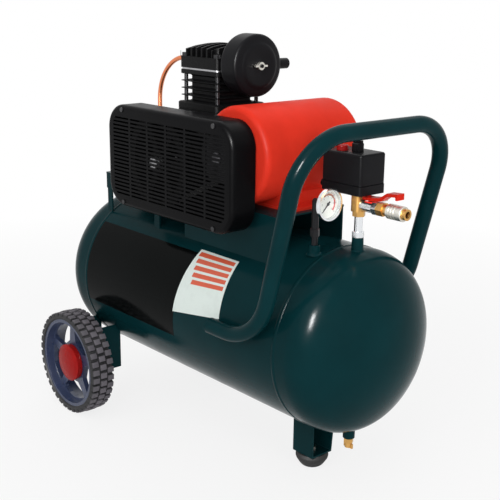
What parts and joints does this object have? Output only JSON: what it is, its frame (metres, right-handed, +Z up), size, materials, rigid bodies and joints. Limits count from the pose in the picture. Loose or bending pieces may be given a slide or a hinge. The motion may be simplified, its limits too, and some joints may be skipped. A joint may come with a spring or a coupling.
{
  "type": "air compressor",
  "caption": "Belt-driven piston air compressor on a wheeled receiver with a tube handle, belt guard, motor, pressure switch, gauge and outlet valve.",
  "frame": {"origin": "on the ground, below the middle of the machine", "axes": "+X along the receiver to the handle end, -Y the belt guard side, +Z up"},
  "size_m": [0.759, 0.427, 0.7135],
  "materials": {
    "green_paint": "dark green-teal gloss paint",
    "black_paint": "black semi-gloss paint",
    "orange_paint": "orange-red satin paint",
    "red_paint": "red gloss coating",
    "black_casting": "black painted rough casting",
    "wheel_plastic": "moulded, satin",
    "black_plastic": "moulded, fine texture",
    "red_plastic": "moulded, gloss",
    "tyre": "moulded tread",
    "rubber": "matt",
    "belt_rubber": "matt",
    "zinc_steel": "zinc plated",
    "turned_steel": "turned",
    "core_steel": "laminated",
    "dark_steel": "blackened",
    "bare_aluminium": "as cast",
    "chrome": "polished",
    "brass": "turned",
    "copper": "drawn copper tube",
    "filter_felt": "pleated felt",
    "clear_glass": "clear"
  },
  "bodies": {
    "frame_body": {"tank": "green_paint", "handle": "green_paint", "handle_welds": "green_paint", "wheel_bracket_front": "green_paint", "wheel_bracket_rear": "green_paint", "foot_bracket": "green_paint", "deck": "green_paint", "chassis_bolts": "zinc_steel", "machine_bolts": "zinc_steel", "rubber_foot": "rubber", "guard_back": "black_paint", "guard_cover": "black_paint", "v_belt": "belt_rubber", "crankcase": "black_casting", "crankcase_cover": "black_casting", "cylinder": "black_casting", "cylinder_head": "black_casting", "oil_plugs": "red_plastic", "valve_plate": "turned_steel", "filter_housing": "black_plastic", "filter_cover": "black_plastic", "filter_element": "filter_felt", "filter_nut": "zinc_steel", "delivery_pipe": "copper", "check_valve": "brass", "motor_cowl": "orange_paint", "motor_base": "orange_paint", "motor_end_shields": "bare_aluminium", "motor_stator": "core_steel", "riser_nipple": "chrome", "manifold": "brass", "switch_base": "black_plastic", "switch_cover": "black_plastic", "gauge_elbow": "dark_steel", "gauge_case": "chrome", "gauge_lens": "clear_glass", "valve_body": "chrome", "coupler_body": "brass", "safety_valve": "brass", "drain_valve": "brass"},
    "wheel_front_body": {"wheel_front": "wheel_plastic", "tyre_front": "tyre", "hub_cap_front": "red_plastic"},
    "wheel_rear_body": {"wheel_rear": "wheel_plastic", "tyre_rear": "tyre", "hub_cap_rear": "red_plastic"},
    "crank_body": {"crankshaft": "turned_steel", "flywheel": "black_casting"},
    "rotor_body": {"motor_rotor": "core_steel", "motor_fan": "black_plastic", "motor_pulley": "turned_steel"},
    "piston_body": {"connecting_rod": "bare_aluminium", "piston": "bare_aluminium"},
    "lever_body": {"valve_lever": "red_paint"},
    "button_body": {"switch_button": "red_plastic"},
    "knob_body": {"switch_knob": "black_plastic"},
    "needle_body": {"gauge_needle": "black_plastic"},
    "sleeve_body": {"coupler_sleeve": "zinc_steel"},
    "drain_body": {"drain_knob": "brass"},
    "ring_body": {"safety_ring": "zinc_steel"}
  },
  "joints": [
    {"name": "wheel_front_spin", "type": "hinge", "parent": "frame_body", "child": "wheel_front_body", "pos_m": [-0.243, -0.1895, 0.098], "axis": [0, 1, 0], "continuous": true},
    {"name": "wheel_rear_spin", "type": "hinge", "parent": "frame_body", "child": "wheel_rear_body", "pos_m": [-0.243, 0.1895, 0.098], "axis": [0, 1, 0], "continuous": true},
    {"name": "motor_spin", "type": "hinge", "parent": "frame_body", "child": "rotor_body", "pos_m": [0.115, 0, 0.531], "axis": [0, 1, 0], "continuous": true},
    {"name": "flywheel_spin", "type": "hinge", "parent": "frame_body", "child": "crank_body", "pos_m": [-0.043, 0, 0.502], "axis": [0, 1, 0], "continuous": true},
    {"name": "piston_slide", "type": "slide", "parent": "frame_body", "child": "piston_body", "axis": [0, 0, 1], "range_m": [0, 0.04]},
    {"name": "valve_turn", "type": "hinge", "parent": "frame_body", "child": "lever_body", "pos_m": [0.307, 0, 0.4705], "axis": [0, 0, 1], "range_deg": [-90, 0]},
    {"name": "button_press", "type": "slide", "parent": "frame_body", "child": "button_body", "axis": [0, 0, -1], "range_m": [0, 0.005], "stiffness_N_per_m": 300, "springref_m": -0.003},
    {"name": "knob_turn", "type": "hinge", "parent": "frame_body", "child": "knob_body", "pos_m": [0.284, -0.003, 0.551], "axis": [0, 0, 1], "range_deg": [-90, 0]},
    {"name": "needle_swing", "type": "hinge", "parent": "frame_body", "child": "needle_body", "pos_m": [0.27, -0.0485, 0.4735], "axis": [-1, 0, 0], "range_deg": [0, 270], "stiffness_Nm_per_rad": 0.0001, "springref_deg": -34.38},
    {"name": "sleeve_slide", "type": "slide", "parent": "frame_body", "child": "sleeve_body", "axis": [-1, 0, 0], "range_m": [0, 0.006], "stiffness_N_per_m": 500, "springref_m": -0.004},
    {"name": "drain_turn", "type": "hinge", "parent": "frame_body", "child": "drain_body", "pos_m": [0.288, 0, 0.07], "axis": [0, 0, 1], "range_deg": [0, 180]},
    {"name": "ring_pull", "type": "slide", "parent": "frame_body", "child": "ring_body", "axis": [0, 1, 0], "range_m": [0, 0.004], "stiffness_N_per_m": 400, "springref_m": -0.004}
  ],
  "couplings": [
    {"joint": "flywheel_spin", "follows": "motor_spin", "ratio": 0.43089}
  ]
}
